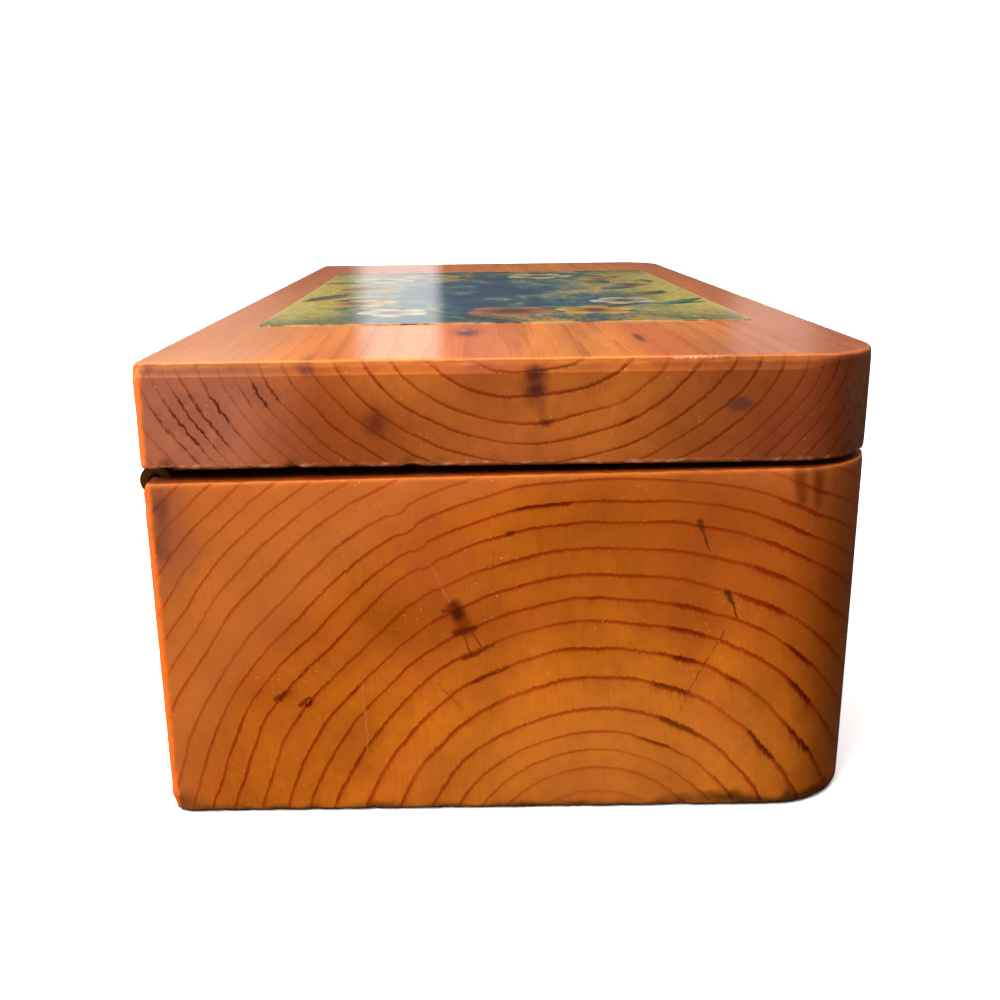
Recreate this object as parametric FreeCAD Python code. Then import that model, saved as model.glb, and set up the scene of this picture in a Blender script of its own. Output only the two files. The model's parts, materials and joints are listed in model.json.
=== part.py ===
import FreeCAD, Part

import math
import os

from FreeCAD import Vector

# Souvenir box of solid cedar. A block with its grain along the length is hollowed out from
# above, and a thick slab of the same wood lies on it as the lid, hung on one continuous hinge.
# Frame: +X along the grain, -Y the front with its rounded corners, +Y the hinge side, +Z up.
# The origin is the middle of the flat underside. Lengths are in millimetres.

# Outside of the box
box_length = 204.0
box_depth = 102.0
box_height = 67.0
front_corner_radius = 13.0
back_corner_radius = 1.5

# Lid slab, and the daylight that the hinge leaves under it
lid_thickness = 14.6
lid_top_round = 0.6
lid_bottom_round = 0.6
lid_end_bevel_depth = 0.9
lid_end_bevel_height = 1.9
gap_front = 0.6
gap_back = 1.8

# Base block and its hollow
end_wall = 12.0
front_wall = 10.0
back_wall = 11.5
floor_thickness = 9.0
hollow_corner_radius = 12.0
hollow_floor_round = 3.0
rim_round = 0.5
bottom_round = 0.8
back_bevel_depth = 0.8
back_bevel_height = 1.6

# Continuous hinge
hinge_end_inset = 4.0
hinge_axis_inset = 1.0
leaf_thickness = 0.9
leaf_width = 10.0
barrel_radius = 2.2
barrel_lid_clearance = 0.2
barrel_groove_clearance = 0.3
leaf_recess_clearance = 0.2
pin_radius = 1.0
pin_clearance = 0.05
pin_end_round = 0.25
knuckle_count = 15
knuckle_gap = 0.3

# Countersunk screws of both leaves
screw_count = 5
screw_end_distance = 14.0
screw_head_radius = 1.65
screw_shank_radius = 0.8
screw_length = 8.0
screw_tip_length = 2.2
screw_slot_width = 0.4
screw_slot_depth = 0.35
screw_slot_turn = 67.0
screw_clearance = 0.05

# Picture on the lid
picture_length = 122.0
picture_depth = 83.0
picture_thickness = 0.12
picture_corner_radius = 0.8

# Levels and places that follow from the sizes above
half_length = box_length / 2
half_depth = box_depth / 2
lid_bottom = box_height - lid_thickness
rim_front = lid_bottom - gap_front
rim_back = lid_bottom - gap_back
rim_slope = (rim_back - rim_front) / box_depth
axis_y = half_depth - hinge_axis_inset
axis_z = lid_bottom - barrel_lid_clearance - barrel_radius
hinge_length = box_length - 2 * hinge_end_inset
knuckle_pitch = hinge_length / knuckle_count
bore_radius = pin_radius + pin_clearance
screw_y = axis_y - (barrel_radius + leaf_width) / 2
along_x = Vector(1, 0, 0)

# A named allowance for finding edges on a plane, and how far cutters run past what they cut
edge_tolerance = 0.01
cutter_overrun = 5.0


def rim_height(y):
    """Height of the sloping rim at a place between the front and the hinge side."""
    return rim_front + (y + half_depth) * rim_slope


def plan_face(low, high, z, front_radius, back_radius):
    """Flat face with rounded corners between two (x, y) corners, its front being the low y side."""
    (x0, y0), (x1, y1) = low, high
    corners = [
        (x0, y0, front_radius, 180.0),
        (x1, y0, front_radius, 270.0),
        (x1, y1, back_radius, 0.0),
        (x0, y1, back_radius, 90.0),
    ]
    arcs = []
    for x, y, radius, start in corners:
        centre = Vector(
            x + math.copysign(radius, (x0 + x1) / 2 - x),
            y + math.copysign(radius, (y0 + y1) / 2 - y),
            z,
        )
        first, middle, last = (
            centre
            + Vector(
                radius * math.cos(math.radians(start + turn)),
                radius * math.sin(math.radians(start + turn)),
                0,
            )
            for turn in (0.0, 45.0, 90.0)
        )
        arcs.append((Part.Arc(first, middle, last).toShape(), first, last))
    edges = []
    for i, (arc, _, last) in enumerate(arcs):
        edges.append(arc)
        edges.append(Part.LineSegment(last, arcs[(i + 1) % len(arcs)][1]).toShape())
    return Part.Face(Part.Wire(edges))


def block_plan(z):
    """Plan of the box, shared by the base and the lid."""
    return plan_face(
        (-half_length, -half_depth),
        (half_length, half_depth),
        z,
        front_corner_radius,
        back_corner_radius,
    )


def side_prism(points, length):
    """Prism along X, centred on the middle of the box, with a section of (y, z) points."""
    wire = Part.makePolygon([Vector(-length / 2, y, z) for y, z in points + points[:1]])
    return Part.Face(wire).extrude(along_x * length)


def axis_cylinder(radius, start, length):
    """Cylinder on the hinge axis."""
    return Part.makeCylinder(radius, length, Vector(start, axis_y, axis_z), along_x)


def box_between(low, high):
    """Block between two opposite corners."""
    size = high - low
    return Part.makeBox(size.x, size.y, size.z, low)


def edges_where(shape, height):
    """Edges that lie all along on the surface z = height(y)."""
    found = []
    for edge in shape.Edges:
        first, last = edge.ParameterRange
        points = [edge.valueAt(first + (last - first) * share) for share in (0.0, 0.5, 1.0)]
        if all(abs(p.z - height(p.y)) < edge_tolerance for p in points):
            found.append(edge)
    return found


def screw_blank(allowance):
    """Countersunk screw pointing down, with its head's face at the origin, grown by an allowance."""
    head = screw_head_radius + allowance
    shank = screw_shank_radius + allowance
    length = screw_length + allowance
    profile = [
        Vector(0, 0, 0),
        Vector(head, 0, 0),
        Vector(shank, 0, -leaf_thickness),
        Vector(shank, 0, screw_tip_length - length),
        Vector(0, 0, -length),
    ]
    face = Part.Face(Part.makePolygon(profile + profile[:1]))
    return face.revolve(Vector(0, 0, 0), Vector(0, 0, 1), 360)


def screw_places():
    """Places of the screws along a leaf."""
    span = hinge_length - 2 * screw_end_distance
    return [span * (i / (screw_count - 1) - 0.5) for i in range(screw_count)]


def placed_on_leaf(shape, x, head_z, pointing_up):
    """Copy of a screw or of its hole at one place of a leaf."""
    copy = shape.copy()
    if pointing_up:
        copy.rotate(Vector(0, 0, 0), along_x, 180)
    copy.translate(Vector(x, screw_y, head_z))
    return copy


def leaf_screws(head_z, pointing_up):
    """The screws of one leaf, each with its slot turned a little further than the last."""
    screws = []
    for i, x in enumerate(screw_places()):
        slot = box_between(
            Vector(-2 * screw_head_radius, -screw_slot_width / 2, -screw_slot_depth),
            Vector(2 * screw_head_radius, screw_slot_width / 2, screw_slot_depth),
        )
        slot.rotate(Vector(0, 0, 0), Vector(0, 0, 1), screw_slot_turn * i)
        screws.append(placed_on_leaf(screw_blank(0.0).cut(slot), x, head_z, pointing_up))
    return screws


def drill_for_screws(shape, head_z, pointing_up):
    """Cuts the countersinks and pilot holes of one leaf's screws out of a shape."""
    hole = screw_blank(screw_clearance)
    return shape.cut([placed_on_leaf(hole, x, head_z, pointing_up) for x in screw_places()])


def hinge_recess():
    """What is cut from the base's rim: a seat for the leaf and a groove, open behind, for the barrel."""
    half = hinge_length / 2 + leaf_recess_clearance
    groove = barrel_radius + barrel_groove_clearance
    outside = half_depth + cutter_overrun
    above = lid_bottom + cutter_overrun
    seat = box_between(
        Vector(-half, axis_y - leaf_width - leaf_recess_clearance, rim_back - leaf_thickness),
        Vector(half, outside, above),
    )
    round_bottom = axis_cylinder(groove, -half, 2 * half)
    way_up = box_between(Vector(-half, axis_y - groove, axis_z), Vector(half, outside, above))
    way_out = box_between(Vector(-half, axis_y, axis_z - groove), Vector(half, outside, above))
    return [seat, round_bottom, way_up, way_out]


def base_block():
    """Hollowed block with a rim that drops towards the hinge and a bevel along its back edge."""
    section = [
        (-half_depth, 0),
        (half_depth, 0),
        (half_depth, rim_back),
        (-half_depth, rim_front),
    ]
    block = block_plan(0).extrude(Vector(0, 0, box_height))
    block = block.common(side_prism(section, box_length))
    block = block.makeFillet(bottom_round, edges_where(block, lambda y: 0))
    block = block.makeFillet(rim_round, edges_where(block, rim_height))
    bevel = [
        (half_depth - back_bevel_depth, rim_back),
        (half_depth, rim_back - back_bevel_height),
        (half_depth, rim_back + cutter_overrun),
        (half_depth - back_bevel_depth, rim_back + cutter_overrun),
    ]
    block = block.cut(side_prism(bevel, box_length))
    hollow = plan_face(
        (-half_length + end_wall, -half_depth + front_wall),
        (half_length - end_wall, half_depth - back_wall),
        floor_thickness,
        hollow_corner_radius,
        hollow_corner_radius,
    ).extrude(Vector(0, 0, box_height))
    hollow = hollow.makeFillet(
        hollow_floor_round, edges_where(hollow, lambda y: floor_thickness)
    )
    block = block.cut([hollow] + hinge_recess())
    return drill_for_screws(block, rim_back, False)


def lid_end_bevels():
    """Wedges planed off the upper edges of the lid's two ends, which run out on the rounded corners."""
    wedges = []
    for end in (-1, 1):
        section = [
            (half_length, box_height - lid_end_bevel_height),
            (half_length - lid_end_bevel_depth, box_height),
            (half_length - lid_end_bevel_depth, box_height + cutter_overrun),
            (half_length + cutter_overrun, box_height + cutter_overrun),
            (half_length + cutter_overrun, box_height - lid_end_bevel_height),
        ]
        points = [Vector(end * x, -half_depth, z) for x, z in section + section[:1]]
        wedges.append(Part.Face(Part.makePolygon(points)).extrude(Vector(0, box_depth, 0)))
    return wedges


def lid_slab():
    """Slab with eased edges and a bevel along the top of each end."""
    slab = block_plan(lid_bottom).extrude(Vector(0, 0, lid_thickness))
    slab = slab.makeFillet(lid_top_round, edges_where(slab, lambda y: box_height))
    slab = slab.makeFillet(lid_bottom_round, edges_where(slab, lambda y: lid_bottom))
    slab = slab.cut(lid_end_bevels())
    return drill_for_screws(slab, lid_bottom - leaf_thickness, True)


def lid_picture():
    """Thin printed film on the middle of the lid."""
    face = plan_face(
        (-picture_length / 2, -picture_depth / 2),
        (picture_length / 2, picture_depth / 2),
        box_height,
        picture_corner_radius,
        picture_corner_radius,
    )
    return face.extrude(Vector(0, 0, picture_thickness))


def hinge_leaf(plate_bottom, own_remainder):
    """Plate and every second knuckle of the hinge, notched to clear the other leaf's knuckles."""
    plate = box_between(
        Vector(-hinge_length / 2, axis_y - leaf_width, plate_bottom),
        Vector(hinge_length / 2, axis_y, plate_bottom + leaf_thickness),
    )
    knuckles = []
    notches = []
    for i in range(knuckle_count):
        start = i * knuckle_pitch - hinge_length / 2
        if i % 2 == own_remainder:
            knuckles.append(
                axis_cylinder(barrel_radius, start + knuckle_gap / 2, knuckle_pitch - knuckle_gap)
            )
        else:
            notches.append(
                box_between(
                    Vector(
                        start - knuckle_gap / 2,
                        axis_y - barrel_radius - knuckle_gap,
                        plate_bottom - cutter_overrun,
                    ),
                    Vector(
                        start + knuckle_pitch + knuckle_gap / 2,
                        axis_y + cutter_overrun,
                        plate_bottom + leaf_thickness + cutter_overrun,
                    ),
                )
            )
    bore = axis_cylinder(bore_radius, -hinge_length, 2 * hinge_length)
    leaf = plate.cut(notches).fuse(knuckles).cut(bore)
    return leaf.removeSplitter()


def hinge_base_leaf():
    """Leaf let into the rim, with the knuckles at both ends."""
    return drill_for_screws(hinge_leaf(rim_back - leaf_thickness, 0), rim_back, False)


def hinge_lid_leaf():
    """Leaf laid flat against the underside of the lid."""
    head_z = lid_bottom - leaf_thickness
    return drill_for_screws(hinge_leaf(head_z, 1), head_z, True)


def hinge_pin():
    """Wire that runs through every knuckle, with its ends rounded over."""
    pin = axis_cylinder(pin_radius, -hinge_length / 2, hinge_length)
    rims = [edge for edge in pin.Edges if edge.BoundBox.XLength < edge_tolerance]
    return pin.makeFillet(pin_end_round, rims)


def main():
    nodes = {
        "base_block": [base_block()],
        "lid_slab": [lid_slab()],
        "lid_picture": [lid_picture()],
        "hinge_base_leaf": [hinge_base_leaf()],
        "hinge_lid_leaf": [hinge_lid_leaf()],
        "hinge_pin": [hinge_pin()],
        "hinge_base_screws": leaf_screws(rim_back, False),
        "hinge_lid_screws": leaf_screws(lid_bottom - leaf_thickness, True),
    }
    os.makedirs("parts", exist_ok=True)
    for name, shapes in nodes.items():
        solids = [solid for shape in shapes for solid in shape.Solids]
        node = solids[0] if len(solids) == 1 else Part.makeCompound(solids)
        node.exportStep(f"parts/{name}.step")
        print(f"{name}: {len(solids)} solids, {node.Volume / 1000:.3f} cm3, valid {node.isValid()}")


main()
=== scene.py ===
import json
import math
import random

import bmesh
import bpy
from mathutils import Matrix, Vector, noise


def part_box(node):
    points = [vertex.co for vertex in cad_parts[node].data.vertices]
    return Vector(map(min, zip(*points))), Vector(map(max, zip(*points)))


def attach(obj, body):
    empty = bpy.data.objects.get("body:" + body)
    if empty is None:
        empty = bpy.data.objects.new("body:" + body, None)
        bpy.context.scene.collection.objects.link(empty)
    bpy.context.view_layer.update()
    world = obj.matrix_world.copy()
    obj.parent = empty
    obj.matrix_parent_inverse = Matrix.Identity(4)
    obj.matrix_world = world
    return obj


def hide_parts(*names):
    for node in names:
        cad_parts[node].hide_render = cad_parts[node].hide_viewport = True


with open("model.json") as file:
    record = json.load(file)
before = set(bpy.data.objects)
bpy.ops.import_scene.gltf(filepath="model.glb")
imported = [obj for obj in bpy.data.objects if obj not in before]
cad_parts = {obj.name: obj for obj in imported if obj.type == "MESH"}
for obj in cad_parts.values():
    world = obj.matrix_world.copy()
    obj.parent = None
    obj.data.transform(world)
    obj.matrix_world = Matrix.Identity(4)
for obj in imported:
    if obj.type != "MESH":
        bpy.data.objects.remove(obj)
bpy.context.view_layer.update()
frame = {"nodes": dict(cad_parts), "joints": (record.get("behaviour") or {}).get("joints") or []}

# Base block
# A block of knotty red cedar hollowed from above, with round front corners and a rim that drops to the hinge.
# Sanded and lacquered amber outside, bare in the hollow, and worn and chipped along its edges by handling.
mm = 0.001
base_low, base_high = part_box("base_block")
half_length = base_high.x
front_face = base_low.y
back_face = base_high.y
front_corner = 13.0 * mm
back_corner = 1.5 * mm
rim_front = 51.8 * mm
rim_back = 50.6 * mm
rim_round = 0.5 * mm
underside_round = 0.8 * mm
back_bevel_depth = 0.8 * mm
back_bevel_height = 1.6 * mm
hollow_end_wall = 12.0 * mm
hollow_front_wall = 10.0 * mm
hollow_back_wall = 11.5 * mm
hollow_floor = 9.0 * mm
hollow_corner = 12.0 * mm
hollow_floor_round = 3.0 * mm
hollow_floor_inset = 9.0 * mm
hollow_lip_round = 0.4 * mm
tightest_corner = 0.3 * mm
corner_steps = 14
side_steps = 180
wear_reach = 0.6 * mm


def bunched(steps):
    """Shares from 0 to 1, both left out, that lie closer together towards the ends."""
    return [0.5 - 0.5 * math.cos(math.pi * k / steps) for k in range(1, steps)]


def plan_loop(half_length, front, back, front_radius, back_radius):
    """Points anticlockwise round a plan with four round corners, as many on every plan."""
    front_radius = max(front_radius, tightest_corner)
    back_radius = max(back_radius, tightest_corner)
    corners = (
        (half_length - back_radius, back - back_radius, back_radius, 0.0),
        (back_radius - half_length, back - back_radius, back_radius, 90.0),
        (front_radius - half_length, front + front_radius, front_radius, 180.0),
        (half_length - front_radius, front + front_radius, front_radius, 270.0),
    )
    arcs = []
    for x, y, radius, start in corners:
        turns = [math.radians(start + 90.0 * k / corner_steps) for k in range(corner_steps + 1)]
        arcs.append([Vector((x + radius * math.cos(a), y + radius * math.sin(a))) for a in turns])
    points = []
    for arc, following in zip(arcs, arcs[1:] + arcs[:1]):
        points += arc
        points += [arc[-1].lerp(following[0], share) for share in bunched(side_steps)]
    return points


def box_plan(inset):
    """Plan of the whole box, drawn in by an inset."""
    front_radius = front_corner - inset
    back_radius = back_corner - inset
    return plan_loop(half_length - inset, front_face + inset, back_face - inset, front_radius, back_radius)


def hollow_plan(inset):
    """Plan of the hollow, drawn in by an inset."""
    half = half_length - hollow_end_wall - inset
    front = front_face + hollow_front_wall + inset
    back = back_face - hollow_back_wall - inset
    return plan_loop(half, front, back, hollow_corner - inset, hollow_corner - inset)


def rim_height(y):
    """Height of the sloping rim between the front and the hinge side."""
    return rim_front + (rim_back - rim_front) * (y - front_face) / (back_face - front_face)


def quarter_turn(steps):
    """Angles through a quarter circle."""
    return [math.radians(90.0 * k / steps) for k in range(steps + 1)]


def loop(plan, height, near_edge=0.0, bare_wood=0.0):
    """A plan lifted to a height that may depend on y, and how worn and how bare the wood is there."""
    lift = height if callable(height) else lambda y: height
    return [Vector((p.x, p.y, lift(p.y))) for p in plan], near_edge, bare_wood


def skin_loops(name, loops):
    """Closed skin over loops, capped at the first and the last, with its wear stored on its points."""
    count = len(loops[0][0])
    faces = [tuple(reversed(range(count)))]
    for row in range(len(loops) - 1):
        lower, upper = row * count, (row + 1) * count
        for k in range(count):
            after = (k + 1) % count
            faces.append((lower + k, lower + after, upper + after, upper + k))
    faces.append(tuple(range((len(loops) - 1) * count, len(loops) * count)))
    mesh = bpy.data.meshes.new(name)
    mesh.from_pydata([point for points, _, _ in loops for point in points], [], faces)
    for label, which in (("near_edge", 1), ("bare_wood", 2)):
        layer = mesh.attributes.new(label, "FLOAT", "POINT")
        layer.data.foreach_set("value", [part[which] for part in loops for _ in range(count)])
    piece = bpy.data.objects.new(name, mesh)
    bpy.context.scene.collection.objects.link(piece)
    return piece


def wear_edges(piece, rub_depth, rub_size, chips):
    """Rubs the edges back unevenly, knocks out (place, reach, depth) chips and lets the faces wave."""
    mesh = piece.data
    near_edge = mesh.attributes["near_edge"].data
    bare_wood = mesh.attributes["bare_wood"].data
    sunk = []
    for vertex in mesh.vertices:
        place = vertex.co
        near = near_edge[vertex.index].value
        if bare_wood[vertex.index].value == 0.0:
            to_corner = math.hypot(half_length - abs(place.x), back_face - place.y)
            off_edge = max(0.0, to_corner - back_corner * (math.sqrt(2.0) - 1.0))
            near = max(near, math.exp(-off_edge / wear_reach))
            near_edge[vertex.index].value = near
        rub = noise.fractal(place / rub_size, 0.8, 2.0, 4)
        depth = near * rub_depth * (0.25 + max(0.0, rub))
        depth += face_wave * (0.5 + 0.5 * noise.noise(place / face_wave_length))
        for where, reach, chip_depth in chips:
            share = (place - where).length / reach
            if share < 1.0:
                ragged = 0.75 + 0.5 * noise.noise(place / chip_grain)
                depth += chip_depth * (1.0 - share * share) * ragged
        sunk.append(place - vertex.normal * depth)
    for vertex, place in zip(mesh.vertices, sunk):
        vertex.co = place
    mesh.update()


def smooth_between(piece, sharp_angle):
    """Smooth shading, broken where faces meet at more than an angle."""
    piece.data.shade_smooth()
    piece.data.set_sharp_from_angle(angle=math.radians(sharp_angle))


face_wave = 0.05 * mm
face_wave_length = 17.0 * mm
chip_grain = 0.9 * mm

base_loops = [loop(box_plan(inset * mm), 0.0) for inset in (6.0, 1.6, 1.0)]
for a in quarter_turn(4):
    plan = box_plan(underside_round * (1.0 - math.sin(a)))
    base_loops.append(loop(plan, underside_round * (1.0 - math.cos(a)), near_edge=1.0))
for share in bunched(48):
    nearness = math.exp(-rim_back * min(share, 1.0 - share) / wear_reach)
    rise = lambda y, s=share: underside_round + s * (rim_height(y) - rim_round - underside_round)
    base_loops.append(loop(box_plan(0.0), rise, nearness))
for a in quarter_turn(4):
    plan = box_plan(rim_round * (1.0 - math.cos(a)))
    base_loops.append(loop(plan, lambda y, d=rim_round * (1.0 - math.sin(a)): rim_height(y) - d, 1.0))
for inset in (0.9, 1.4, 2.5):
    base_loops.append(loop(box_plan(inset * mm), rim_height, math.exp(-inset * mm / wear_reach)))
for a in quarter_turn(3):
    plan = hollow_plan(hollow_lip_round * (math.sin(a) - 1.0))
    drop = hollow_lip_round * (1.0 - math.cos(a))
    base_loops.append(loop(plan, lambda y, d=drop: rim_height(y) - d, 0.8, 0.3))
hollow_wall_foot = hollow_floor + hollow_floor_round
for share in bunched(14):
    fall = lambda y, s=share: (rim_height(y) - hollow_lip_round) * (1.0 - s) + hollow_wall_foot * s
    base_loops.append(loop(hollow_plan(0.0), fall, bare_wood=1.0))
for a in quarter_turn(6):
    plan = hollow_plan(hollow_floor_round * (1.0 - math.cos(a)))
    base_loops.append(loop(plan, hollow_wall_foot - hollow_floor_round * math.sin(a), bare_wood=1.0))
base_loops.append(loop(hollow_plan(hollow_floor_inset), hollow_floor, bare_wood=1.0))

for points, _, _ in base_loops:
    for point in points:
        risen = point.z - (rim_back - back_bevel_height)
        if risen > 0.0:
            point.y = min(point.y, back_face - back_bevel_depth * risen / back_bevel_height)

base = skin_loops("cedar_base", base_loops)
wear_edges(
    base,
    rub_depth=0.16 * mm,
    rub_size=2.2 * mm,
    chips=(
        (Vector((-half_length, back_face, 0.2 * mm)), 2.6 * mm, 0.6 * mm),
        (Vector((-half_length, -24.0 * mm, 0.0)), 1.4 * mm, 0.15 * mm),
        (Vector((-half_length, back_face, 47.6 * mm)), 1.6 * mm, 0.4 * mm),
        (Vector((half_length, back_face, 1.0 * mm)), 2.4 * mm, 0.6 * mm),
        (Vector((half_length, 8.0 * mm, 0.0)), 2.2 * mm, 0.5 * mm),
        (Vector((40.0 * mm, front_face, 0.0)), 2.4 * mm, 0.4 * mm),
        (Vector((-61.0 * mm, back_face, 0.0)), 2.0 * mm, 0.4 * mm),
    ),
)

# The hinge's seat, milled along the back of the rim: flat for the leaf, round for its barrel
leaf_low, leaf_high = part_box("hinge_base_leaf")
hinge_axis = Vector(frame["joints"][0]["pos_m"])
seat_clearance = 0.2 * mm
seat_level = rim_back - 0.9 * mm
groove_radius = 2.5 * mm
past_the_block = 5.0 * mm
groove_steps = 8


def mill_away(piece, section, half_width):
    """Mills a prism along X, with a section of (y, z) points, out of a piece."""
    count = len(section)
    ends = [Vector((x, y, z)) for x in (-half_width, half_width) for y, z in section]
    faces = [tuple(range(count)), tuple(reversed(range(count, 2 * count)))]
    faces += [(k, k + count, (k + 1) % count + count, (k + 1) % count) for k in range(count)]
    cutter_mesh = bpy.data.meshes.new("milled_away")
    cutter_mesh.from_pydata(ends, [], faces)
    shaped = bmesh.new()
    shaped.from_mesh(cutter_mesh)
    bmesh.ops.recalc_face_normals(shaped, faces=shaped.faces)
    shaped.to_mesh(cutter_mesh)
    shaped.free()
    cutter = bpy.data.objects.new("milled_away", cutter_mesh)
    bpy.context.scene.collection.objects.link(cutter)
    cut = piece.modifiers.new("milled", "BOOLEAN")
    cut.operation = "DIFFERENCE"
    cut.solver = "MANIFOLD"
    cut.object = cutter
    milled = piece.evaluated_get(bpy.context.evaluated_depsgraph_get())
    uncut = piece.data
    piece.data = bpy.data.meshes.new_from_object(milled)
    piece.modifiers.clear()
    bpy.data.objects.remove(cutter)
    bpy.data.meshes.remove(cutter_mesh)
    bpy.data.meshes.remove(uncut)


seat_front = leaf_low.y - seat_clearance
beyond = back_face + past_the_block
above = rim_front + past_the_block
seat_meets_groove = math.degrees(math.asin((hinge_axis.z - seat_level) / groove_radius))
seat_section = [(seat_front, seat_level), (seat_front, above), (beyond, above)]
seat_section.append((beyond, hinge_axis.z - groove_radius))
for k in range(groove_steps + 1):
    turn = math.radians(-90.0 - (90.0 - seat_meets_groove) * k / groove_steps)
    groove_y = hinge_axis.y + groove_radius * math.cos(turn)
    seat_section.append((groove_y, hinge_axis.z + groove_radius * math.sin(turn)))
mill_away(base, seat_section, leaf_high.x + seat_clearance)
smooth_between(base, sharp_angle=32.0)


def display(red, green, blue):
    """A colour given as it shows on a screen, 0 to 255, as linear light."""
    shown = [part / 255.0 for part in (red, green, blue)]
    linear = [s / 12.92 if s <= 0.04045 else ((s + 0.055) / 1.055) ** 2.4 for s in shown]
    return (*linear, 1.0)


class Signal:
    """A node's output that varies over a surface; arithmetic on signals adds Math nodes."""

    def __init__(self, socket):
        self.socket = socket
        self.tree = socket.id_data

    def __add__(self, other):
        return calc("ADD", self, other)

    def __sub__(self, other):
        return calc("SUBTRACT", self, other)

    def __rsub__(self, other):
        return calc("SUBTRACT", other, self)

    def __mul__(self, other):
        return calc("MULTIPLY", self, other)

    def __truediv__(self, other):
        return calc("DIVIDE", self, other)

    __radd__ = __add__
    __rmul__ = __mul__


def feed(socket, term):
    """Links a signal to a socket, or sets the socket to a plain value."""
    if isinstance(term, Signal):
        socket.id_data.links.new(term.socket, socket)
    else:
        socket.default_value = term


def add_node(kind, *terms, **settings):
    """Adds a shader node to its signals' tree and feeds its inputs in order; None leaves one alone."""
    tree = next(term.tree for term in terms if isinstance(term, Signal))
    made = tree.nodes.new("ShaderNode" + kind)
    for label, value in settings.items():
        setattr(made, label, value)
    for socket, term in zip(made.inputs, terms):
        if term is not None:
            feed(socket, term)
    return made


def calc(operation, *terms):
    """Result of one Math node."""
    return Signal(add_node("Math", *terms, operation=operation).outputs[0])


def vector(operation, *terms):
    """Vector result of one Vector Math node."""
    return Signal(add_node("VectorMath", *terms, operation=operation).outputs["Vector"])


def measure(operation, *terms):
    """Length, distance or dot product of vectors."""
    return Signal(add_node("VectorMath", *terms, operation=operation).outputs["Value"])


def scaled(term, amount):
    """A vector or colour multiplied by an amount."""
    made = add_node("VectorMath", term, operation="SCALE")
    feed(made.inputs["Scale"], amount)
    return Signal(made.outputs["Vector"])


def parts(term):
    """The three parts of a vector."""
    return [Signal(socket) for socket in add_node("SeparateXYZ", term).outputs]


def step(value, low, high):
    """Smooth step from 0 at low to 1 at high; low may be the greater."""
    return Signal(add_node("MapRange", value, low, high, interpolation_type="SMOOTHSTEP").outputs[0])


def mix(share, first, second):
    """Colour mixed from two by a share."""
    terms = [share, None, None, None, None, None, first, second]
    return Signal(add_node("Mix", *terms, data_type="RGBA").outputs[2])


def cloud(place, size, detail=2.0, seed=0.0):
    """Soft noise from 0 to 1, with its feature size along x, y and z."""
    at = vector("DIVIDE", place, size)
    return Signal(add_node("TexNoise", at, seed, 1.0, detail, noise_dimensions="4D").outputs[0])


def open_group(name, inputs, outputs):
    """New shader node group: what comes in, by name, and a call that sends a result out."""
    tree = bpy.data.node_groups.new(name, "ShaderNodeTree")
    for label, value in inputs.items():
        kind = {1: "Float", 3: "Vector", 4: "Color"}[len(value)]
        made = tree.interface.new_socket(name=label, in_out="INPUT", socket_type="NodeSocket" + kind)
        made.default_value = value if len(value) > 1 else value[0]
    for label, kind in outputs.items():
        tree.interface.new_socket(name=label, in_out="OUTPUT", socket_type="NodeSocket" + kind)
    sources = tree.nodes.new("NodeGroupInput").outputs
    given = {socket.name: Signal(socket) for socket in sources if socket.name}
    sockets = tree.nodes.new("NodeGroupOutput").inputs
    return tree, given, lambda label, signal: feed(sockets[label], signal)


def lay(group, **terms):
    """Places a node group, feeds its inputs by name, with _ for a space, and gives its outputs by name."""
    tree = next(term.tree for term in terms.values() if isinstance(term, Signal))
    made = tree.nodes.new("ShaderNodeGroup")
    made.node_tree = group
    for label, term in terms.items():
        feed(made.inputs[label.replace("_", " ")], term)
    return {socket.name: Signal(socket) for socket in made.outputs}


def stored(place, label):
    """A value that is stored on each point of the mesh."""
    made = place.tree.nodes.new("ShaderNodeAttribute")
    made.attribute_name = label
    return Signal(made.outputs["Fac"])


# Distance from the pith in mm. The heart of the tree strays more, the further it is from the near end.
origin = (0.0, 0.0, 0.0)
near_end = base_low.x / mm
length_mm = 2.0 * half_length / mm
pith_distance, given, send = open_group(
    "distance from pith",
    {"Place": origin, "Pith": origin, "Stretch": (1.0,), "Lean": origin, "Swell": (0.0,), "Seed": (0.0,)},
    {"Radius": "Float"},
)
along = (parts(given["Place"])[0] - near_end) / length_mm
stray = add_node("TexNoise", None, along * 2.3 + given["Seed"], 1.0, 1.0, noise_dimensions="1D")
stray = vector("SUBTRACT", Signal(stray.outputs["Color"]), (0.5, 0.5, 0.5))
from_pith = vector("SUBTRACT", given["Place"], given["Pith"])
_, across, upright = parts(vector("SUBTRACT", from_pith, scaled(stray, along * 12.0)))
radial = calc("SQRT", calc("POWER", across / given["Stretch"], 2.0) + upright * upright)
wobble = cloud(given["Place"], (55.0, 13.0, 13.0), detail=3.0) - 0.5
wobble = wobble * (along * 5.0 + 2.2)
send("Radius", radial + measure("DOT_PRODUCT", from_pith, given["Lean"]) + given["Swell"] + wobble)

# Swell of the rings round a knot, in mm, that dies away with distance
grain_swell, given, send = open_group(
    "swell of the rings",
    {"Place": origin, "Centre": origin, "Reach": (10.0,), "Amount": (1.0,)},
    {"Swell": "Float"},
)
away = vector("MULTIPLY", vector("SUBTRACT", given["Place"], given["Centre"]), (0.2, 1.0, 1.0))
send("Swell", step(measure("LENGTH", away) / given["Reach"], 1.0, 0.0) * given["Amount"])

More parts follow.
